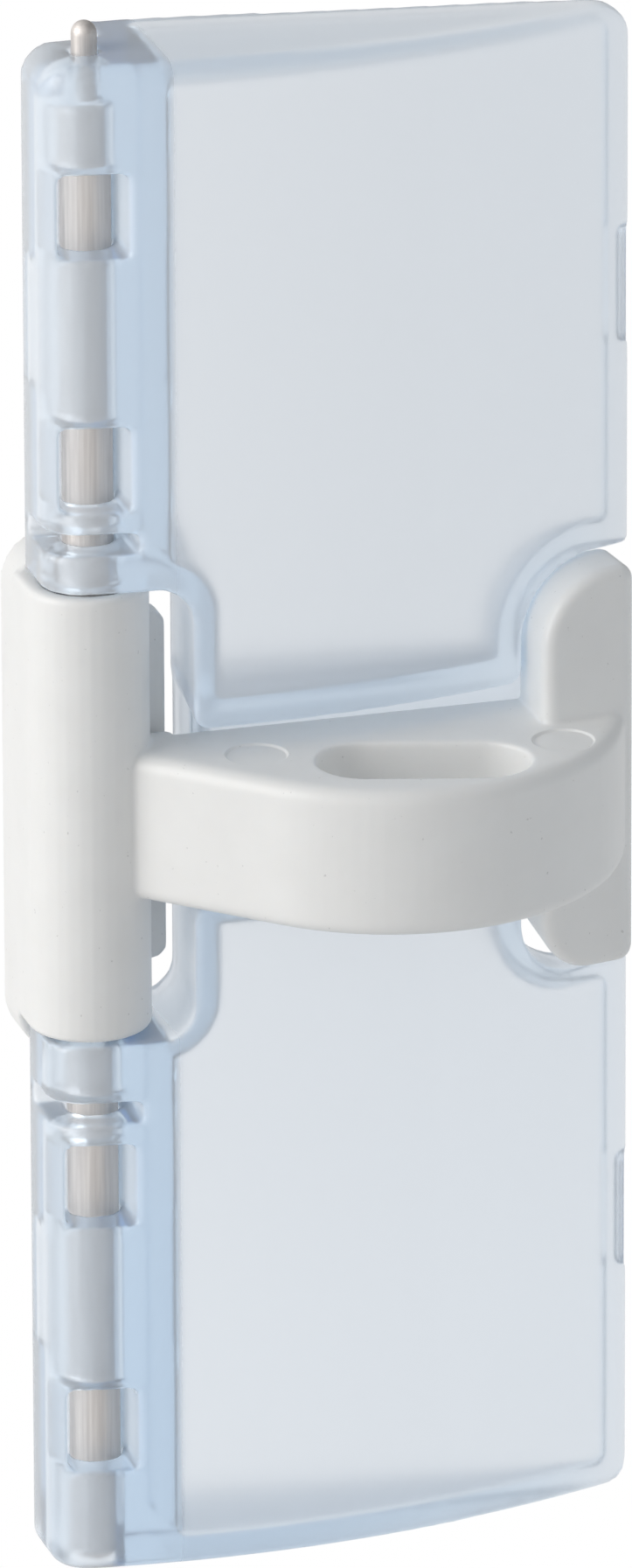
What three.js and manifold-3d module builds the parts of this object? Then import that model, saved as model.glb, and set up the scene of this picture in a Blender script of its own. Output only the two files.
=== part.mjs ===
// Stair gate latch: a clear moulded cover plate on a steel pin, with a sprung white lever on the same pin.
// Millimetres. X runs across the plate from the pin to the free edge, Y runs back towards the gate and
// Z runs up the pin. The origin is on the pin's axis, level with the foot of the cover plate.

import * as THREE from 'three';
import { mergeVertices } from 'three/addons/utils/BufferGeometryUtils.js';
import Module from 'manifold-3d';

const wasm = await Module();
wasm.setup();

// Clearances, and how far a cutting body runs past the surface that it cuts
const runningGap = 0.3;
const pinFit = 0.1;
const turningFit = 0.15;
const overrun = 6;
const leastCorner = 0.1;

// Cover plate: outline seen from above
const coverHeight = 124;
const plateReach = 43.9;
const crownX = 11;
const crownDepth = 5.6;
const crownRadius = 92;
const freeEdgeRadius = 1.7;
const edgeRound = 1.5;
const pinHeadCorner = 2.4;
const pinFootCorner = 1.5;
const freeHeadCorner = 3.1;
const freeFootCorner = 2.2;
const taperStart = 8;
const endTaper = 0.5;
const coverWall = 1.8;
const cavityCorner = 1.4;
const cavityRound = 1;

// Cover plate: hinge column and the rim that faces the gate
const columnLeft = 4.3;
const columnRight = 5.4;
const columnBack = 3;
const columnCorner = 3.2;
const rimStart = 2;
const rimDepthAtPin = 7;
const rimDepthAtEdge = 2.1;

// Height of the lever's barrel and heel above the middle of the cover plate
const leverRise = 0.8;

// Cover plate: the notch for the barrel, whose wall drafts back, the gap for the arm and the notch for
// the tab. Heads and feet are heights above and below the middle.
const barrelNotchHalf = 18.6;
const barrelNotchReach = 6.9;
const barrelNotchCorner = 2.8;
const barrelNotchDraft = 6.3;
const armGapHead = 7.8;
const armGapFoot = 6.8;
const gapCorner = 1.2;
const tabNotchHead = 17.4;
const tabNotchFoot = 16.9;
const tabNotchStart = 34.2;
const tabNotchUpperCorner = 6.4;
const tabNotchLowerCorner = 4.6;
const webThickness = 2.2;

// Cover plate: from each collar outwards, a slit, a pin window, a rear window and a second pin window
const collarHeight = 4;
const slitHeight = 1.7;
const slitReach = 2.8;
const slitBack = 1.7;
const slitToWindow = 1.8;
const windowHeight = 6.8;
const windowLeft = 3.2;
const windowRight = 2.2;
const windowToEnd = 8.6;
const rearWindowHeight = 10.4;

// Cover plate: catch windows in the free edge's rim
const catchMiddle = 38.5;
const catchHeight = 9.6;
const catchDepth = 1;
const catchReach = 1.1;

// Pivot pin
const pinRadius = 2;
const pinChamfer = 0.4;
const pinEndRecess = 0.6;
const tipRadius = 1;
const tipProud = 2.4;
const shoulderDepth = 3.4;

// Latch lever: barrel, the guard behind it that laps the collars, and the heel
const barrelRadius = 4.9;
const barrelOffset = 0.2;
const barrelEdge = 0.5;
const guardBack = 7.2;
const guardHalf = 21;
const guardInset = 0.4;
const guardOuterCorner = 3.9;
const guardInnerCorner = 0.6;
const heelFront = 2;
const heelReach = 6.7;
const heelBack = 4.4;
const heelHalf = 14.4;
const heelCorner = 1.2;

// Latch lever: bowed arm, from above, whose middle drops below the middle of the cover plate
const armHalf = 6;
const armDrop = 0.25;
const armReach = 42;
const armCentreX = 24.2;
const armCentreY = -0.3;
const armRadius = 18.2;
const armLead = 14.5;
const armLeadTurn = 45;
const armEndTurn = 12;
const armBack = 0.6;
const armEdge = 1.2;
const armRoot = 3;
const neckReach = 7.2;
const neckBack = 1.5;
const slotLength = 16.6;
const slotWidth = 7.8;
const slotX = 23.65;
const slotY = -11.3;
const slotTurn = -15.7;
const markRadius = 2.4;
const markDepth = 0.15;
const innerMarkX = 11.6;
const innerMarkY = -6.4;
const outerMarkX = 35.2;
const outerMarkY = -10.2;

// Latch lever: thumb tab and catch nose at the free end
const tabStart = 34.6;
const tabReach = 42.5;
const tabFront = 7.2;
const tabBack = 0.6;
const tabHead = 17;
const tabFoot = 14.6;
const tabFlare = 0.7;
const tabTurn = 12.6;
const tabEdge = 1.1;
const tabUpperCorner = 5.6;
const tabLowerCorner = 4.2;
const tabOuterCorner = 1.2;
const noseStart = 36.6;
const noseReach = 41.2;
const noseDepth = 2.6;
const noseChamfer = 1.4;
const noseHalf = 5;

// Torsion spring
const wireRadius = 0.3;
const coilRadius = 3;
const coilTurns = 6.5;
const coilPitch = 1.25;
const springLeg = 1.6;
const springPocketRadius = 3.75;
const springPocketDepth = 10.4;
const legHoleRadius = 0.45;

// Facets
const arcSteps = 8;
const bevelSteps = 5;
const roundSides = 32;
const wireSides = 6;
const stepsPerTurn = 14;
const crownSteps = 12;
const armSteps = 16;

// Sizes that follow from the ones above
const coverHalf = coverHeight / 2;
const barrelHalf = barrelNotchHalf - runningGap;
const crownCentreY = crownRadius - crownDepth;
const cutDepth = rimDepthAtPin + overrun;
const shoulderHeight = coverHalf - shoulderDepth;
const boreRadius = pinRadius + pinFit;
const barrelHead = leverRise + barrelHalf;
const barrelFoot = leverRise - barrelHalf;
const notchHead = leverRise + barrelNotchHalf;
const pocketFloor = barrelHead - springPocketDepth;
const guardFront = columnBack + runningGap;
const armHead = armHalf - armDrop;
const heelSweep = Math.hypot(heelReach, heelBack);
const slitFoot = barrelNotchHalf + collarHeight;
const slitHead = slitFoot + slitHeight;
const innerWindowFoot = slitHead + slitToWindow;
const innerWindowHead = innerWindowFoot + windowHeight;
const outerWindowHead = coverHalf - windowToEnd;
const outerWindowFoot = outerWindowHead - windowHeight;
const rearWindowMiddle = (innerWindowHead + outerWindowFoot) / 2;

function toSolid(geometry) {
  const bare = geometry.clone();
  bare.deleteAttribute('normal');
  bare.deleteAttribute('uv');
  const merged = mergeVertices(bare);
  const corners = merged.index.array;
  const triVerts = [];
  for (let first = 0; first < corners.length; first += 3) {
    const [a, b, c] = corners.slice(first, first + 3);
    if (a !== b && b !== c && c !== a) {
      triVerts.push(a, b, c);
    }
  }
  return new wasm.Manifold(new wasm.Mesh({
    numProp: 3,
    vertProperties: new Float32Array(merged.attributes.position.array),
    triVerts: new Uint32Array(triVerts),
  }));
}

function toMesh(name, solid, material) {
  const { vertProperties, triVerts } = solid.getMesh();
  const geometry = new THREE.BufferGeometry();
  geometry.setAttribute('position', new THREE.BufferAttribute(vertProperties, 3));
  geometry.setIndex(new THREE.BufferAttribute(triVerts, 1));
  geometry.computeVertexNormals();
  const mesh = new THREE.Mesh(geometry, material);
  mesh.name = name;
  return mesh;
}

// A closed outline from corners [x, y, radius], each corner rounded by an arc.
function roundedOutline(corners) {
  const shape = new THREE.Shape();
  corners.forEach(([x, y, radius], index) => {
    const corner = new THREE.Vector2(x, y);
    const [beforeX, beforeY] = corners.at(index - 1);
    const [afterX, afterY] = corners[(index + 1) % corners.length];
    const toBefore = new THREE.Vector2(beforeX, beforeY).sub(corner).normalize();
    const toAfter = new THREE.Vector2(afterX, afterY).sub(corner).normalize();
    const halfAngle = Math.acos(toBefore.dot(toAfter)) / 2;
    const bisector = toBefore.clone().add(toAfter).normalize();
    const centre = corner.clone().addScaledVector(bisector, radius / Math.sin(halfAngle));
    const setback = radius / Math.tan(halfAngle);
    const start = corner.clone().addScaledVector(toBefore, setback).sub(centre);
    const end = corner.clone().addScaledVector(toAfter, setback).sub(centre);
    const clockwise = toBefore.cross(toAfter) > 0;
    shape.absarc(centre.x, centre.y, radius, start.angle(), end.angle(), clockwise);
  });
  return shape;
}

// An outline seen from above, carried up and down from the middle, with both rims rounded over.
function upright(shape, height, round, steps = arcSteps) {
  const geometry = new THREE.ExtrudeGeometry(shape, {
    depth: height - 2 * round,
    curveSegments: steps,
    bevelEnabled: round > 0,
    bevelThickness: round,
    bevelSize: round,
    bevelOffset: -round,
    bevelSegments: bevelSteps,
  });
  return geometry.translate(0, 0, round - height / 2);
}

// An outline seen from the front, carried back from one depth to another.
function frontToBack(shape, fromY, toY, round) {
  const geometry = upright(shape, toY - fromY, round);
  return geometry.rotateX(Math.PI / 2).translate(0, (fromY + toY) / 2, 0);
}

function slab(fromX, toX, fromY, toY, fromZ, toZ) {
  const geometry = new THREE.BoxGeometry(toX - fromX, toY - fromY, toZ - fromZ);
  return geometry.translate((fromX + toX) / 2, (fromY + toY) / 2, (fromZ + toZ) / 2);
}

function rod(radius, fromZ, toZ) {
  const geometry = new THREE.CylinderGeometry(radius, radius, toZ - fromZ, roundSides);
  return geometry.rotateX(Math.PI / 2).translate(0, 0, (fromZ + toZ) / 2);
}

// The crowned front, between a left side and a right side, each joined to it by a tangent arc. The
// outline runs back past the rim, where the rim's own plane cuts it.
function crownedOutline(left, right, inset, leftRadius, rightRadius) {
  const radius = crownRadius - inset;
  const leftX = left + leftRadius;
  const rightX = right - rightRadius;
  const leftY = crownCentreY - Math.sqrt((radius - leftRadius) ** 2 - (leftX - crownX) ** 2);
  const rightY = crownCentreY - Math.sqrt((radius - rightRadius) ** 2 - (rightX - crownX) ** 2);
  const leftAngle = Math.atan2(leftY - crownCentreY, leftX - crownX);
  const rightAngle = Math.atan2(rightY - crownCentreY, rightX - crownX);
  const shape = new THREE.Shape();
  shape.absarc(leftX, leftY, leftRadius, Math.PI, leftAngle, false);
  shape.absarc(crownX, crownCentreY, radius, leftAngle, rightAngle, false);
  shape.absarc(rightX, rightY, rightRadius, rightAngle, 0, false);
  shape.lineTo(right, cutDepth + edgeRound);
  shape.lineTo(left, cutDepth + edgeRound);
  return shape;
}

function rimDepth(x) {
  const share = (x - rimStart) / (plateReach - rimStart);
  return rimDepthAtPin + (rimDepthAtEdge - rimDepthAtPin) * share;
}

// Everything behind the sloping rim.
function behindRim() {
  const fromX = -columnLeft - overrun;
  const toX = plateReach + overrun;
  const shape = new THREE.Shape([
    new THREE.Vector2(fromX, rimDepth(fromX)),
    new THREE.Vector2(toX, rimDepth(toX)),
    new THREE.Vector2(toX, cutDepth + 2 * overrun),
    new THREE.Vector2(fromX, cutDepth + 2 * overrun),
  ]);
  return upright(shape, coverHeight + overrun, 0);
}

// The cover seen from the front, with its four corners rounded. Its ends are square beside the pin and
// taper from there to the free edge.
function coverFace() {
  return roundedOutline([
    [-columnLeft, -coverHalf, pinFootCorner],
    [taperStart, -coverHalf, leastCorner],
    [plateReach, endTaper - coverHalf, freeFootCorner],
    [plateReach, coverHalf - endTaper, freeHeadCorner],
    [taperStart, coverHalf, leastCorner],
    [-columnLeft, coverHalf, pinHeadCorner],
  ]);
}

// The opening that the lever works in, seen from the front: a notch for the barrel, a gap for the arm and
// a notch for the tab. It is grown by one wall to keep the tray's hollow away from it.
function leverOpening(grow) {
  const fromX = -columnLeft - overrun;
  const toX = plateReach + overrun;
  const innerCorner = Math.max(gapCorner - grow, leastCorner);
  const barrelX = barrelNotchReach + grow;
  const tabX = tabNotchStart - grow;
  const barrelZ = barrelNotchHalf + grow;
  const gapHead = armGapHead + grow;
  const gapFoot = -armGapFoot - grow;
  const tabHead = tabNotchHead + grow;
  const tabFoot = -tabNotchFoot - grow;
  return roundedOutline([
    [fromX, leverRise - barrelZ, gapCorner],
    [barrelX, leverRise - barrelZ, barrelNotchCorner + grow],
    [barrelX, gapFoot, innerCorner],
    [tabX, gapFoot, innerCorner],
    [tabX, tabFoot, tabNotchLowerCorner + grow],
    [toX, tabFoot, gapCorner],
    [toX, tabHead, gapCorner],
    [tabX, tabHead, tabNotchUpperCorner + grow],
    [tabX, gapHead, innerCorner],
    [barrelX, gapHead, innerCorner],
    [barrelX, leverRise + barrelZ, barrelNotchCorner + grow],
    [fromX, leverRise + barrelZ, gapCorner],
  ]);
}

// The lever's opening as a cutting body. The barrel notch widens towards the back, by its wall's draft.
function openingCutter(grow) {
  const geometry = frontToBack(leverOpening(grow), -crownDepth - overrun, cutDepth + overrun, 0);
  const slope = Math.tan(THREE.MathUtils.degToRad(barrelNotchDraft));
  const { position } = geometry.attributes;
  for (let index = 0; index < position.count; index += 1) {
    const x = position.getX(index);
    if (x > 0 && x < plateReach / 2) {
      position.setX(index, x + slope * (position.getY(index) + crownDepth));
    }
  }
  return geometry;
}

// The cover, with a web behind the arm that ends in a wall clear of the heel's sweep.
function coverPlate() {
  const outside = crownedOutline(-columnLeft, plateReach, 0, columnCorner, freeEdgeRadius);
  const inside = crownedOutline(columnRight, plateReach - coverWall, coverWall, cavityCorner, cavityCorner);
  const webStart = heelSweep + runningGap;
  const webFront = armBack + runningGap;
  const webFoot = -armGapFoot - coverWall / 2;
  const webHead = armGapHead + coverWall / 2;
  const hollowBlock = toSolid(upright(inside, coverHeight - 2 * coverWall, cavityRound, crownSteps));
  const hollow = hollowBlock.subtract(toSolid(openingCutter(coverWall)));
  let cover = toSolid(upright(outside, coverHeight, edgeRound, crownSteps));
  cover = cover.intersect(toSolid(frontToBack(coverFace(), -crownDepth - overrun, cutDepth + overrun, 0)));
  cover = cover.subtract(hollow);
  cover = cover.subtract(toSolid(openingCutter(0)));
  for (const wall of [
    slab(webStart, noseStart - runningGap, webFront, webFront + webThickness, webFoot, webHead),
    slab(webStart, webStart + coverWall, webFront, cutDepth, webFoot, webHead),
  ]) {
    cover = cover.add(toSolid(wall));
  }
  cover = cover.subtract(toSolid(behindRim()));
  cover = cover.subtract(toSolid(slab(
    -columnLeft - overrun, rimStart,
    columnBack, cutDepth + overrun,
    -coverHalf - overrun, coverHalf + overrun,
  )));
  for (const cut of boreCuts()) {
    cover = cover.subtract(toSolid(cut));
  }
  for (const cut of endCuts()) {
    const upper = toSolid(cut);
    cover = cover.subtract(upper).subtract(upper.mirror([0, 0, 1]));
  }
  return cover;
}

// The pin's bore with its tip hole, and the hole for the spring's upper leg.
function boreCuts() {
  return [
    rod(boreRadius, -coverHalf - overrun, shoulderHeight),
    rod(tipRadius + pinFit, 0, coverHalf + overrun),
    rod(legHoleRadius, 0, notchHead + springLeg + runningGap).translate(-coilRadius, 0, 0),
  ];
}

// Cuts in the upper end, which the lower end has too: the slit, the windows that the moulding tool's
// cores leave along the bore, and the catch window.
function endCuts() {
  const frontY = -crownDepth - overrun;
  return [
    slab(-columnLeft - overrun, slitReach, frontY, slitBack, slitFoot, slitHead),
    slab(-windowLeft, windowRight, frontY, 0, innerWindowFoot, innerWindowHead),
    slab(-windowLeft, windowRight, frontY, 0, outerWindowFoot, outerWindowHead),
    slab(
      -boreRadius, boreRadius,
      0, columnBack + overrun,
      rearWindowMiddle - rearWindowHeight / 2, rearWindowMiddle + rearWindowHeight / 2,
    ),
    slab(
      plateReach - catchReach, plateReach + overrun,
      rimDepthAtEdge - catchDepth, cutDepth,
      catchMiddle - catchHeight / 2, catchMiddle + catchHeight / 2,
    ),
  ];
}

function pivotPin() {
  const footHeight = pinEndRecess - coverHalf;
  const tipCentre = coverHalf + tipProud - tipRadius;
  const shoulder = shoulderHeight - pinFit;
  const profile = new THREE.Path();
  profile.moveTo(0, footHeight);
  profile.lineTo(pinRadius - pinChamfer, footHeight);
  profile.lineTo(pinRadius, footHeight + pinChamfer);
  profile.lineTo(pinRadius, shoulder - pinChamfer);
  profile.lineTo(pinRadius - pinChamfer, shoulder);
  profile.lineTo(tipRadius, shoulder);
  profile.absarc(0, tipCentre, tipRadius, 0, Math.PI / 2, false);
  const points = profile.getPoints(arcSteps / 2);
  points.at(-1).x = 0;
  return toSolid(new THREE.LatheGeometry(points, roundSides).rotateX(Math.PI / 2));
}

// The barrel from above: a half round front on straight sides, which run back into the guard.
function barrelOutline() {
  const shape = new THREE.Shape();
  shape.absarc(-barrelOffset, 0, barrelRadius, Math.PI, 0, false);
  shape.lineTo(barrelRadius - barrelOffset, guardFront + barrelEdge);
  shape.lineTo(-barrelRadius - barrelOffset, guardFront + barrelEdge);
  return shape;
}

// The guard from the front. Beside the pin it is as high as the barrel, to clear the cover's rim.
function guardOutline() {
  const left = -barrelRadius - barrelOffset;
  const right = barrelRadius - barrelOffset;
  return roundedOutline([
    [left, -guardHalf, guardOuterCorner],
    [-guardInset, -guardHalf, guardInnerCorner],
    [-guardInset, barrelFoot, guardInnerCorner],
    [right, barrelFoot, guardInnerCorner],
    [right, barrelHead, guardInnerCorner],
    [-guardInset, barrelHead, guardInnerCorner],
    [-guardInset, guardHalf, guardInnerCorner],
    [left, guardHalf, guardOuterCorner],
  ]);
}

// The arm from above: a straight lead out of the barrel, a round bow that it is tangent to, and a flat
// back. A thicker neck joins it to the barrel, and its square root lies inside the barrel.
function armOutline() {
  const lead = THREE.MathUtils.degToRad(armLeadTurn);
  const leadAngle = -Math.PI / 2 - lead;
  const endAngle = -THREE.MathUtils.degToRad(armEndTurn);
  const shape = new THREE.Shape();
  shape.moveTo(-armRoot, neckBack);
  shape.lineTo(-armRoot, -armRoot);
  shape.lineTo(
    armCentreX + armRadius * Math.cos(leadAngle) - armLead * Math.cos(lead),
    armCentreY + armRadius * Math.sin(leadAngle) + armLead * Math.sin(lead),
  );
  shape.absarc(armCentreX, armCentreY, armRadius, leadAngle, endAngle, false);
  shape.lineTo(armReach, armBack);
  shape.lineTo(neckReach, armBack);
  shape.lineTo(neckReach, neckBack);
  return shape;
}

function slotOutline() {
  const end = slotLength / 2;
  const side = slotWidth / 2;
  return roundedOutline([[-end, -side, side], [end, -side, side], [end, side, side], [-end, side, side]]);
}

// The tab from the front, with its free edge square and its inner corners round.
function tabOutline() {
  return roundedOutline([
    [tabStart, -tabFoot, tabLowerCorner],
    [tabReach, -tabFoot, tabOuterCorner],
    [tabReach, tabHead, tabOuterCorner],
    [tabStart, tabHead, tabUpperCorner],
  ]);
}

// The tab is higher at its front than at its back, and its back is flat with a square rim.
function flareOut(geometry) {
  const { position } = geometry.attributes;
  for (let index = 0; index < position.count; index += 1) {
    const y = Math.min(position.getY(index), -tabBack);
    const share = (-tabBack - y) / (tabFront - tabBack);
    position.setY(index, y);
    position.setZ(index, position.getZ(index) * (1 + share * tabFlare / tabHead));
  }
  return geometry;
}

// The tab's front leans back towards its free edge.
function leanBack(geometry) {
  const slope = Math.tan(THREE.MathUtils.degToRad(tabTurn));
  const lean = new THREE.Matrix4().makeShear(slope, 0, 0, 0, 0, 0);
  return geometry.translate(-tabStart, 0, 0).applyMatrix4(lean).translate(tabStart, 0, 0);
}

function noseOutline() {
  return new THREE.Shape([
    new THREE.Vector2(noseStart, 0),
    new THREE.Vector2(noseReach, 0),
    new THREE.Vector2(noseReach, noseDepth - noseChamfer),
    new THREE.Vector2(noseReach - noseChamfer, noseDepth),
    new THREE.Vector2(noseStart, noseDepth),
  ]);
}

function latchLever() {
  const heel = roundedOutline([
    [0, -heelHalf, heelCorner],
    [heelReach, -heelHalf, heelCorner],
    [heelReach, heelHalf, heelCorner],
    [0, heelHalf, heelCorner],
  ]);
  const tab = leanBack(flareOut(frontToBack(tabOutline(), -tabFront, tabEdge - tabBack, tabEdge)));
  const arm = upright(armOutline(), 2 * armHalf, armEdge, armSteps).translate(0, 0, -armDrop);
  let lever = toSolid(upright(barrelOutline(), 2 * barrelHalf, barrelEdge));
  lever = lever.add(toSolid(frontToBack(heel, heelFront, heelBack, 0))).translate([0, 0, leverRise]);
  lever = lever.add(toSolid(frontToBack(guardOutline(), guardFront, guardBack, 0)));
  lever = lever.add(toSolid(arm)).add(toSolid(tab));
  lever = lever.add(toSolid(upright(noseOutline(), 2 * noseHalf, 0)));
  const slot = upright(slotOutline(), 2 * armHalf + overrun, 0);
  slot.rotateZ(THREE.MathUtils.degToRad(slotTurn)).translate(slotX, slotY, 0);
  lever = lever.subtract(toSolid(slot));
  const mark = rod(markRadius, armHead - markDepth, armHead + overrun);
  lever = lever.subtract(toSolid(mark.clone().translate(innerMarkX, innerMarkY, 0)));
  lever = lever.subtract(toSolid(mark.translate(outerMarkX, outerMarkY, 0)));
  lever = lever.subtract(toSolid(rod(pinRadius + turningFit, barrelFoot - overrun, barrelHead + overrun)));
  lever = lever.subtract(toSolid(rod(springPocketRadius, pocketFloor, barrelHead + overrun)));
  const legHole = rod(legHoleRadius, pocketFloor - springLeg - runningGap, pocketFloor + runningGap);
  return lever.subtract(toSolid(legHole.translate(coilRadius, 0, 0)));
}

// The spring's centre line: a leg in the lever, the coil, and a leg in the collar above.
function springPoints() {
  const coilLength = coilTurns * coilPitch;
  const coilFoot = (pocketFloor + barrelHead - coilLength) / 2;
  const legFoot = pocketFloor - springLeg;
  const legHead = notchHead + springLeg;
  const steps = Math.round(coilTurns * stepsPerTurn);
  const points = [new THREE.Vector3(coilRadius, 0, legFoot)];
  for (let step = 0; step <= steps; step += 1) {
    const turn = step / stepsPerTurn;
    const angle = 2 * Math.PI * turn;
    points.push(new THREE.Vector3(
      coilRadius * Math.cos(angle),
      coilRadius * Math.sin(angle),
      coilFoot + coilPitch * turn,
    ));
  }
  points.push(new THREE.Vector3(-coilRadius, 0, legHead));
  return points;
}

// The least gap between stretches of the wire that lie half a turn or more apart along it.
function leastSpringGap(path) {
  const points = path.getSpacedPoints(Math.round(coilTurns * stepsPerTurn * 2));
  const apart = Math.ceil(Math.PI * coilRadius / points[0].distanceTo(points[1]));
  let least = Infinity;
  points.forEach((point, index) => {
    for (const other of points.slice(index + apart)) {
      least = Math.min(least, point.distanceTo(other));
    }
  });
  return least - 2 * wireRadius;
}

function torsionSpring() {
  const points = springPoints();
  const path = new THREE.CatmullRomCurve3(points, false, 'centripetal');
  console.log(`torsion_spring: least gap to itself ${leastSpringGap(path).toFixed(2)} mm`);
  const section = new THREE.Shape();
  section.absarc(0, 0, wireRadius, 0, 2 * Math.PI, false);
  const geometry = new THREE.ExtrudeGeometry(section, {
    steps: points.length * 2,
    curveSegments: wireSides / 2,
    bevelEnabled: false,
    extrudePath: path,
  });
  return toSolid(geometry);
}

const clearPlastic = new THREE.MeshStandardMaterial({
  color: 0xd3deea,
  roughness: 0.25,
  metalness: 0,
  transparent: true,
  opacity: 0.6,
});
const whitePlastic = new THREE.MeshStandardMaterial({ color: 0xeeeeec, roughness: 0.45, metalness: 0 });
const steel = new THREE.MeshStandardMaterial({ color: 0xb9b4ae, roughness: 0.35, metalness: 1 });
const springSteel = new THREE.MeshStandardMaterial({ color: 0x9a9a9c, roughness: 0.4, metalness: 1 });

const latch = new THREE.Group();
latch.position.z = coverHalf;
latch.add(toMesh('cover_plate', coverPlate(), clearPlastic));
latch.add(toMesh('pivot_pin', pivotPin(), steel));
latch.add(toMesh('latch_lever', latchLever(), whitePlastic));
latch.add(toMesh('torsion_spring', torsionSpring(), springSteel));

const part = new THREE.Group();
part.add(latch);

export default part;
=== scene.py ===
# Looks, light and camera for the stair gate latch, in metres and in the model's own frame.
import math

import bmesh
import bpy
from mathutils import Matrix, Vector


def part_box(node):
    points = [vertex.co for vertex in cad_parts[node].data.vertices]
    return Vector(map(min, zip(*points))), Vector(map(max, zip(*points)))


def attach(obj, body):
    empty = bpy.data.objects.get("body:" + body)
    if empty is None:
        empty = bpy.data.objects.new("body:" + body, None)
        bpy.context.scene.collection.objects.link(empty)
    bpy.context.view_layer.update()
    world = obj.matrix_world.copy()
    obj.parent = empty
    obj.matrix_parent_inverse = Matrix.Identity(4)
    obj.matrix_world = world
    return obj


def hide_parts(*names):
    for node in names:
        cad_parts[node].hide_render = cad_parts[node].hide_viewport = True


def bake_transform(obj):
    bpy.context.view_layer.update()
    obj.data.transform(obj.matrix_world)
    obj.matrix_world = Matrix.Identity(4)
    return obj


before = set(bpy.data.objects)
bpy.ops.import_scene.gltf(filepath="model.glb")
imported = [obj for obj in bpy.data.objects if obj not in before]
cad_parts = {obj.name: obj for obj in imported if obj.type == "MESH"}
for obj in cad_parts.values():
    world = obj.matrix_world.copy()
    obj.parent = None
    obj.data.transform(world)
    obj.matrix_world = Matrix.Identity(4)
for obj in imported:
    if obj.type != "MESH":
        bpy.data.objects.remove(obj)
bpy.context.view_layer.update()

MM = 0.001

# The photograph's frame in pixels, and where the pin's axis at mid-height falls in it
PHOTO_WIDTH = 723
PHOTO_HEIGHT = 1793
PIN_PIXEL_X = 103
PIN_PIXEL_Y = 927.5

# Camera
AZIMUTH_DEG = -15.5
ELEVATION_DEG = 20.6
ROLL_DEG = -0.47
DISTANCE = 1480 * MM
SENSOR_MM = 36
FOCAL_PIXELS = 21867
CLIP_START = 0.05
CLIP_END = 20

# Moulded pieces: the grain that they are rebuilt at, and the passes that soften their edges
COVER_GRAIN = 0.3 * MM
COVER_PASSES = 7
LEVER_GRAIN = 0.2 * MM
LEVER_PASSES = 6
PASS_SHARE = 0.5

# Colour ramps run over the middle of the noise, where nearly all of it lies
RAMP_START = 0.3
RAMP_END = 0.7

# Clear plastic. The share of light that its milky skin lets straight in falls between two heights, from
# its value low down to its value high up. That makes the lower plate brighter: painted light, standing
# for more light from below. LAMP_TINT is what each face lets through of a lamp, and DEEP_TINT and
# DEEP_DENSITY colour the light that goes through it.
CLEAR_BASE = (0.96, 0.975, 1, 1)
CLEAR_INDEX = 1.45
LOWER_CLEARNESS_PAINTED_LIGHT = 0.66
UPPER_CLEARNESS = 0.52
PAINTED_LIGHT_UP_TO = 20 * MM
PAINTED_LIGHT_GONE_AT = 80 * MM
LAMP_TINT = (0.8, 0.81, 0.82, 1)
DEEP_TINT = (0.08, 0.51, 0.86, 1)
DEEP_DENSITY = 55

# The clear plastic is nearly polished on the hinge column and satin on the plate. It changes from one to
# the other between these two values of X.
COLUMN_ROUGHNESS = 0.19
PLATE_ROUGHNESS = 0.3
FROST_RANGE = 0.06
FROST_WAVES = 900
FROST_DETAIL = 3
POLISH_END = 5.5 * MM
SATIN_START = 5.7 * MM

# White plastic
WHITE_SHADES = ((0.915, 0.912, 0.9), (0.94, 0.938, 0.925))
MOTTLE_WAVES = 260
MOTTLE_DETAIL = 4
SPECK_WAVES = 2600
SPECK_DETAIL = 1
SPECK_START = 0.76
SPECK_FULL = 0.8
SPECK_SHADE = 0.8
WHITE_ROUGHNESS = 0.38
SCATTER_WEIGHT = 0.1
SCATTER_RADIUS = (1, 0.9, 0.8)
SCATTER_SCALE = 0.6 * MM
PEEL_WAVES = 1500
PEEL_DETAIL = 2
PEEL_STRENGTH = 0.08
PEEL_DEPTH = 0.03 * MM

# Pin and spring wire
PIN_SHADES = ((0.65, 0.61, 0.585), (0.76, 0.72, 0.69))
PIN_METALLIC = 0.7
PIN_ROUGHNESS = (0.46, 0.54)
PIN_WAVES = 900
PIN_DETAIL = 3
PIN_STRETCH = (3, 3, 0.15)
PIN_STRENGTH = 0.04
PIN_DEPTH = 0.01 * MM
WIRE_SHADES = ((0.3, 0.3, 0.31), (0.42, 0.42, 0.43))
WIRE_ROUGHNESS = 0.35
WIRE_WAVES = 3000
WIRE_DETAIL = 2

# Ejector marks pressed into the top of the arm: where they are, and the arm's own round outline
ARM_TOP = 67.75 * MM
ARM_CENTRE = (24.2 * MM, -0.3 * MM)
ARM_FLAT_RADIUS = 16.6 * MM
MARK_CENTRES = ((11.6 * MM, -6.4 * MM), (35.2 * MM, -10.2 * MM))
MARK_RADIUS = 2.4 * MM
MARK_DEPTH = 0.2 * MM
MARK_RIM = 0.16 * MM
MARK_MARGIN = 0.5 * MM
MARK_CUTS = 2

# Light, with directions as azimuth and elevation in degrees. What is mirrored goes from one level to
# another between minus and plus MIRRORED_SPREAD of a unit direction's X.
WHITE = (1, 1, 1, 1)
KEY_DIRECTION = (-82, 20)
KEY_DISTANCE = 0.9
KEY_SIZE = (0.6, 0.8)
KEY_POWER = 5
KEY_TINT = (1, 0.98, 0.95)
FILL_DIRECTION = (70, 5)
FILL_POWER = 0.55
FILL_TINT = (0.78, 0.9, 1)
WHITE_LEVEL = 1
MIRRORED_LEFT = 1.15
MIRRORED_RIGHT = 0.2
MIRRORED_FLOOR = 0.8
MIRRORED_SPREAD = 0.5
AMBIENT_BELOW = 0.65
AMBIENT_ABOVE = 0.37
AMBIENT_TINT = (0.95, 0.975, 1, 1)
FLOOR_DROP = 0.3
FLOOR_HALF = 4
FLOOR_SHADE = 0.85
FLOOR_ROUGHNESS = 0.9

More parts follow.
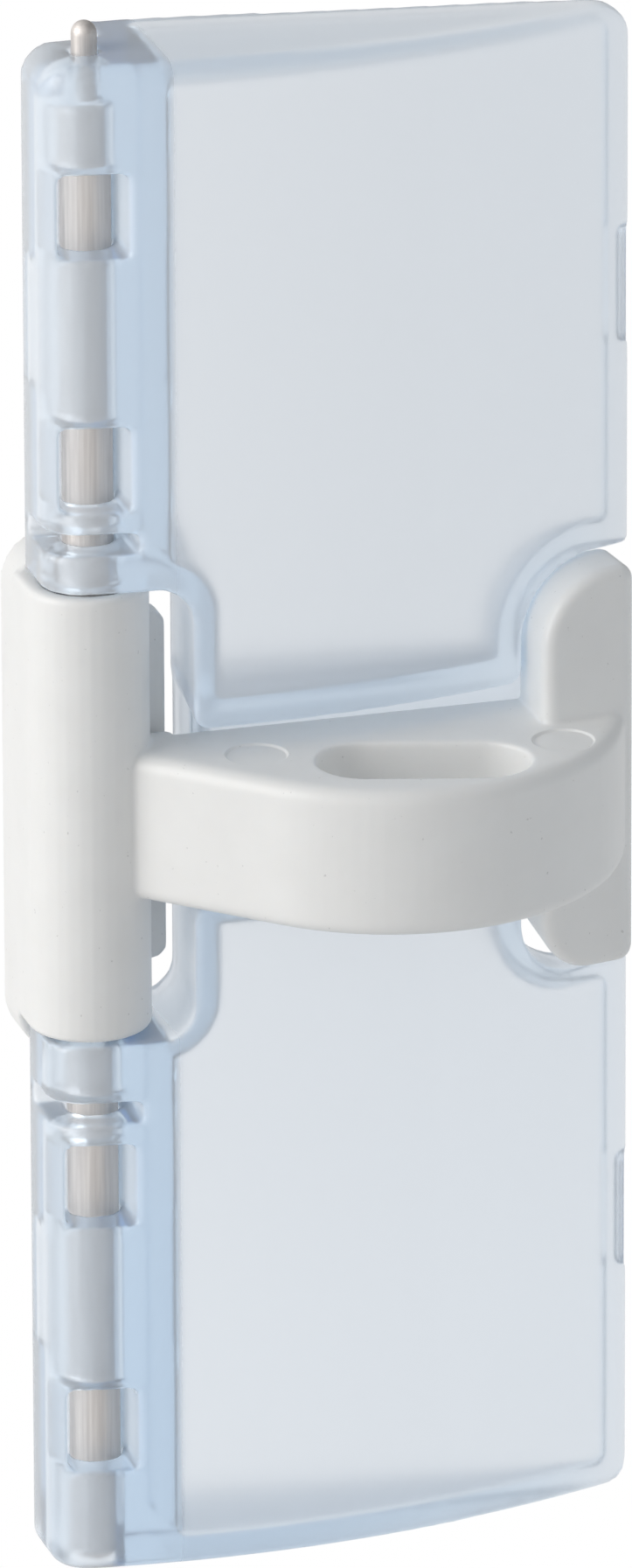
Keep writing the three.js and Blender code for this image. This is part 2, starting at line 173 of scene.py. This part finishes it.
cover_low, cover_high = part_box("cover_plate")
middle = Vector((0, 0, (cover_low[2] + cover_high[2]) / 2))


def new_material(name):
    material = bpy.data.materials.new(name)
    material.use_nodes = True
    nodes = material.node_tree.nodes
    nodes.clear()
    shader = nodes.new("ShaderNodeBsdfPrincipled")
    output = nodes.new("ShaderNodeOutputMaterial")
    material.node_tree.links.new(shader.outputs["BSDF"], output.inputs["Surface"])
    return material, shader, output


def noise(material, waves, detail, stretch=(1, 1, 1)):
    """Noise in object space, which is the model's own frame, with its scale in waves a metre."""
    nodes = material.node_tree.nodes
    links = material.node_tree.links
    place = nodes.new("ShaderNodeTexCoord")
    mapping = nodes.new("ShaderNodeMapping")
    mapping.inputs["Scale"].default_value = stretch
    texture = nodes.new("ShaderNodeTexNoise")
    texture.inputs["Scale"].default_value = waves
    texture.inputs["Detail"].default_value = detail
    links.new(place.outputs["Object"], mapping.inputs["Vector"])
    links.new(mapping.outputs["Vector"], texture.inputs["Vector"])
    return texture.outputs["Fac"]


def ramp(material, source, low, high, start=RAMP_START, end=RAMP_END):
    """A colour that goes from low, where source is start, to high, where it is end."""
    node = material.node_tree.nodes.new("ShaderNodeValToRGB")
    material.node_tree.links.new(source, node.inputs["Fac"])
    for element, position, colour in zip(node.color_ramp.elements, (start, end), (low, high)):
        element.position = position
        element.color = (*colour, 1)
    return node.outputs["Color"]


def bump(material, shader, source, strength, distance):
    node = material.node_tree.nodes.new("ShaderNodeBump")
    node.inputs["Strength"].default_value = strength
    node.inputs["Distance"].default_value = distance
    material.node_tree.links.new(source, node.inputs["Height"])
    material.node_tree.links.new(node.outputs["Normal"], shader.inputs["Normal"])


def along(tree, space, axis, start, end, low, high):
    """A level that goes from low at start to high at end along an axis of that space."""
    place = tree.nodes.new("ShaderNodeTexCoord")
    split = tree.nodes.new("ShaderNodeSeparateXYZ")
    level = tree.nodes.new("ShaderNodeMapRange")
    level.inputs["From Min"].default_value = start
    level.inputs["From Max"].default_value = end
    level.inputs["To Min"].default_value = low
    level.inputs["To Max"].default_value = high
    tree.links.new(place.outputs[space], split.inputs["Vector"])
    tree.links.new(split.outputs[axis], level.inputs["Value"])
    return level.outputs["Result"]


def grey(value):
    return (value, value, value)


def clear_plastic():
    """Clear moulding with a milky skin, faintly frosted, bluer where light goes through more of it, and
    clearer low down, which paints light on the lower plate.
    """
    material, shader, output = new_material("clear_plastic")
    nodes = material.node_tree.nodes
    links = material.node_tree.links
    shader.inputs["Base Color"].default_value = CLEAR_BASE
    shader.inputs["IOR"].default_value = CLEAR_INDEX
    side = nodes.new("ShaderNodeNewGeometry")
    clear = nodes.new("ShaderNodeMapRange")
    # Painted light: the skin is clearer low down, so the plate looks brighter towards the bottom.
    clearness_with_painted_light = along(
        material.node_tree, "Object", "Z", PAINTED_LIGHT_UP_TO, PAINTED_LIGHT_GONE_AT, LOWER_CLEARNESS_PAINTED_LIGHT, UPPER_CLEARNESS)
    links.new(clearness_with_painted_light, clear.inputs["To Min"])
    links.new(side.outputs["Backfacing"], clear.inputs["Value"])
    links.new(clear.outputs["Result"], shader.inputs["Transmission Weight"])

    finish = along(
        material.node_tree, "Object", "X", POLISH_END, SATIN_START, COLUMN_ROUGHNESS, PLATE_ROUGHNESS)
    frost = nodes.new("ShaderNodeMath")
    frost.operation = "MULTIPLY_ADD"
    frost.inputs[1].default_value = FROST_RANGE
    links.new(noise(material, FROST_WAVES, FROST_DETAIL), frost.inputs[0])
    links.new(finish, frost.inputs[2])
    links.new(frost.outputs["Value"], shader.inputs["Roughness"])

    path = nodes.new("ShaderNodeLightPath")
    through = nodes.new("ShaderNodeBsdfTransparent")
    through.inputs["Color"].default_value = LAMP_TINT
    mix = nodes.new("ShaderNodeMixShader")
    links.new(path.outputs["Is Shadow Ray"], mix.inputs["Fac"])
    links.new(shader.outputs["BSDF"], mix.inputs[1])
    links.new(through.outputs["BSDF"], mix.inputs[2])
    links.new(mix.outputs["Shader"], output.inputs["Surface"])

    absorption = nodes.new("ShaderNodeVolumeAbsorption")
    absorption.inputs["Color"].default_value = DEEP_TINT
    absorption.inputs["Density"].default_value = DEEP_DENSITY
    links.new(absorption.outputs["Volume"], output.inputs["Volume"])
    return material


def white_plastic():
    """Satin white moulding with faint mottling and a few grey specks."""
    material, shader, _ = new_material("white_plastic")
    links = material.node_tree.links
    base = ramp(material, noise(material, MOTTLE_WAVES, MOTTLE_DETAIL), *WHITE_SHADES)
    dots = noise(material, SPECK_WAVES, SPECK_DETAIL)
    specks = ramp(material, dots, grey(1), grey(SPECK_SHADE), SPECK_START, SPECK_FULL)
    mix = material.node_tree.nodes.new("ShaderNodeMix")
    mix.data_type = "RGBA"
    mix.blend_type = "MULTIPLY"
    mix.inputs["Factor"].default_value = 1
    links.new(base, mix.inputs["A"])
    links.new(specks, mix.inputs["B"])
    links.new(mix.outputs["Result"], shader.inputs["Base Color"])
    shader.inputs["Roughness"].default_value = WHITE_ROUGHNESS
    shader.inputs["Subsurface Weight"].default_value = SCATTER_WEIGHT
    shader.inputs["Subsurface Radius"].default_value = SCATTER_RADIUS
    shader.inputs["Subsurface Scale"].default_value = SCATTER_SCALE
    bump(material, shader, noise(material, PEEL_WAVES, PEEL_DETAIL), PEEL_STRENGTH, PEEL_DEPTH)
    return material


def pin_steel():
    """Drawn pin, satin and a little warmer than plain grey, with fine lines along it."""
    material, shader, _ = new_material("pin_steel")
    links = material.node_tree.links
    lines = noise(material, PIN_WAVES, PIN_DETAIL, PIN_STRETCH)
    links.new(ramp(material, lines, *PIN_SHADES), shader.inputs["Base Color"])
    shader.inputs["Metallic"].default_value = PIN_METALLIC
    rough = ramp(material, lines, *[grey(value) for value in PIN_ROUGHNESS])
    links.new(rough, shader.inputs["Roughness"])
    bump(material, shader, lines, PIN_STRENGTH, PIN_DEPTH)
    return material


def spring_steel():
    """Drawn wire, darker than the pin and faintly mottled."""
    material, shader, _ = new_material("spring_steel")
    base = ramp(material, noise(material, WIRE_WAVES, WIRE_DETAIL), *WIRE_SHADES)
    material.node_tree.links.new(base, shader.inputs["Base Color"])
    shader.inputs["Metallic"].default_value = 1
    shader.inputs["Roughness"].default_value = WIRE_ROUGHNESS
    return material


def dress(node, material):
    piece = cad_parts[node]
    piece.data.materials.clear()
    piece.data.materials.append(material)


def mould(name, node, body, material, grain, passes):
    """A finer copy of a node with softened edges, as a moulding has, standing for the node."""
    piece = bpy.data.objects.new(name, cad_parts[node].data.copy())
    bpy.context.scene.collection.objects.link(piece)
    rebuild = piece.modifiers.new("rebuild", "REMESH")
    rebuild.mode = "VOXEL"
    rebuild.voxel_size = grain
    rebuild.use_smooth_shade = True
    soften = piece.modifiers.new("soften", "SMOOTH")
    soften.factor = PASS_SHARE
    soften.iterations = passes
    graph = bpy.context.evaluated_depsgraph_get()
    mesh = bpy.data.meshes.new_from_object(piece.evaluated_get(graph))
    piece.modifiers.clear()
    piece.data = mesh
    mesh.materials.clear()
    mesh.materials.append(material)
    mesh.shade_smooth()
    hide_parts(node)
    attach(piece, body)
    return piece


def wind_spring(material):
    """The spring in its own shape, fixed where it stands; in the latch its upper leg is held by the
    cover and its lower by the lever.
    """
    piece = bpy.data.objects.new("wound_spring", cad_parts["torsion_spring"].data.copy())
    bpy.context.scene.collection.objects.link(piece)
    piece.data.materials.clear()
    piece.data.materials.append(material)
    piece.data.shade_smooth()
    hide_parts("torsion_spring")
    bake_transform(piece)


def ring_edges(model, centre):
    """The edges on the arm's top that lie close to a mark's rim."""
    def near(vertex):
        out = math.dist(vertex.co.xy, centre)
        return abs(out - MARK_RADIUS) < MARK_MARGIN and abs(vertex.co.z - ARM_TOP) < MARK_MARGIN
    return [edge for edge in model.edges if all(near(vertex) for vertex in edge.verts)]


def press_marks(piece):
    """Gives the arm's two round ejector marks a flat floor and a crisp rim."""
    model = bmesh.new()
    model.from_mesh(piece.data)
    for centre in MARK_CENTRES:
        for _ in range(MARK_CUTS):
            edges = ring_edges(model, centre)
            bmesh.ops.subdivide_edges(model, edges=edges, cuts=1, use_grid_fill=True)
        for vertex in model.verts:
            out = math.dist(vertex.co.xy, centre)
            if out > MARK_RADIUS + MARK_MARGIN or abs(vertex.co.z - ARM_TOP) > MARK_MARGIN:
                continue
            share = min(max((MARK_RADIUS - out) / MARK_RIM + 0.5, 0), 1)
            height = ARM_TOP - MARK_DEPTH * share * share * (3 - 2 * share)
            flat = math.dist(vertex.co.xy, ARM_CENTRE) < ARM_FLAT_RADIUS
            vertex.co.z = height if flat else min(vertex.co.z, height)
    model.to_mesh(piece.data)
    model.free()
    piece.data.shade_smooth()


def camera_axes():
    """The camera's place and its right, up and forward directions, aimed at the photograph's middle."""
    azimuth = math.radians(AZIMUTH_DEG)
    elevation = math.radians(ELEVATION_DEG)
    roll = math.radians(ROLL_DEG)
    forward = Vector((
        -math.sin(azimuth) * math.cos(elevation),
        math.cos(azimuth) * math.cos(elevation),
        -math.sin(elevation),
    ))
    level = Vector((math.cos(azimuth), math.sin(azimuth), 0))
    above = level.cross(forward)
    right = math.cos(roll) * level + math.sin(roll) * above
    up = math.cos(roll) * above - math.sin(roll) * level
    place = middle - DISTANCE * forward
    across = (PHOTO_WIDTH / 2 - PIN_PIXEL_X) / FOCAL_PIXELS
    down = (PHOTO_HEIGHT / 2 - PIN_PIXEL_Y) / FOCAL_PIXELS
    aim = (forward + across * right - down * up).normalized()
    right = (right - right.dot(aim) * aim).normalized()
    return place, right, right.cross(aim), aim


def add_camera():
    place, right, up, forward = camera_axes()
    data = bpy.data.cameras.new("camera")
    data.sensor_width = SENSOR_MM
    data.lens = SENSOR_MM * FOCAL_PIXELS / PHOTO_HEIGHT
    data.clip_start = CLIP_START
    data.clip_end = CLIP_END
    camera = bpy.data.objects.new("camera", data)
    bpy.context.scene.collection.objects.link(camera)
    camera.matrix_world = Matrix(((*right, 0), (*up, 0), (*-forward, 0), (0, 0, 0, 1))).transposed()
    camera.location = place
    bpy.context.scene.camera = camera


def outward(azimuth_deg, elevation_deg):
    """The direction from the part towards something at that azimuth and elevation."""
    azimuth = math.radians(azimuth_deg)
    elevation = math.radians(elevation_deg)
    return Vector((
        math.sin(azimuth) * math.cos(elevation),
        -math.cos(azimuth) * math.cos(elevation),
        math.sin(elevation),
    ))


def add_light(name, direction, distance, size, power, tint):
    data = bpy.data.lights.new(name, "AREA")
    data.shape = "RECTANGLE"
    data.size, data.size_y = size
    data.energy = power
    data.color = tint
    light = bpy.data.objects.new(name, data)
    bpy.context.scene.collection.objects.link(light)
    light.location = middle + distance * outward(*direction)
    light.rotation_euler = outward(*direction).to_track_quat("Z", "Y").to_euler()


def white_where_seen(tree, lit, mirrored, output):
    """White where it is seen straight or through the clear plastic, of its own level in reflections."""
    path = tree.nodes.new("ShaderNodeLightPath")
    seen = tree.nodes.new("ShaderNodeMath")
    seen.operation = "MAXIMUM"
    tree.links.new(path.outputs["Is Camera Ray"], seen.inputs[0])
    tree.links.new(path.outputs["Is Transmission Ray"], seen.inputs[1])
    kind = "ShaderNodeBackground" if lit.type == "BACKGROUND" else "ShaderNodeEmission"
    shown = lit
    for level, ray in ((mirrored, path.outputs["Is Glossy Ray"]), (WHITE_LEVEL, seen.outputs["Value"])):
        glow = tree.nodes.new(kind)
        glow.inputs["Color"].default_value = WHITE
        if isinstance(level, bpy.types.NodeSocket):
            tree.links.new(level, glow.inputs["Strength"])
        else:
            glow.inputs["Strength"].default_value = level
        mix = tree.nodes.new("ShaderNodeMixShader")
        tree.links.new(ray, mix.inputs["Fac"])
        tree.links.new(shown.outputs[0], mix.inputs[1])
        tree.links.new(glow.outputs[0], mix.inputs[2])
        shown = mix
    tree.links.new(shown.outputs[0], output.inputs["Surface"])


def add_backdrop():
    """A white surround and a pale floor under the part, both plain white where the camera sees them."""
    world = bpy.data.worlds.new("studio")
    bpy.context.scene.world = world
    world.use_nodes = True
    tree = world.node_tree
    tree.nodes.clear()
    ambient = tree.nodes.new("ShaderNodeBackground")
    ambient.inputs["Color"].default_value = AMBIENT_TINT
    around = along(tree, "Generated", "Z", -1, 1, AMBIENT_BELOW, AMBIENT_ABOVE)
    tree.links.new(around, ambient.inputs["Strength"])
    mirrored = along(
        tree, "Generated", "X", -MIRRORED_SPREAD, MIRRORED_SPREAD, MIRRORED_LEFT, MIRRORED_RIGHT)
    white_where_seen(tree, ambient, mirrored, tree.nodes.new("ShaderNodeOutputWorld"))

    mesh = bpy.data.meshes.new("floor")
    signs = ((-1, -1), (1, -1), (1, 1), (-1, 1))
    corners = [(FLOOR_HALF * across, FLOOR_HALF * back, -FLOOR_DROP) for across, back in signs]
    mesh.from_pydata(corners, [], [(0, 1, 2, 3)])
    floor = bpy.data.objects.new("floor", mesh)
    bpy.context.scene.collection.objects.link(floor)
    material, shader, output = new_material("pale_floor")
    shader.inputs["Base Color"].default_value = (*grey(FLOOR_SHADE), 1)
    shader.inputs["Roughness"].default_value = FLOOR_ROUGHNESS
    white_where_seen(material.node_tree, shader, MIRRORED_FLOOR, output)
    mesh.materials.append(material)


mould("cover_moulding", "cover_plate", "cover",
      clear_plastic(), COVER_GRAIN, COVER_PASSES)
lever = mould("lever_moulding", "latch_lever", "lever",
              white_plastic(), LEVER_GRAIN, LEVER_PASSES)
press_marks(lever)
dress("pivot_pin", pin_steel())
wind_spring(spring_steel())

add_backdrop()
add_light("key", KEY_DIRECTION, KEY_DISTANCE, KEY_SIZE, KEY_POWER, KEY_TINT)
add_light("fill", FILL_DIRECTION, KEY_DISTANCE, KEY_SIZE, FILL_POWER, FILL_TINT)
add_camera()

scene = bpy.context.scene
scene.view_settings.view_transform = "Standard"
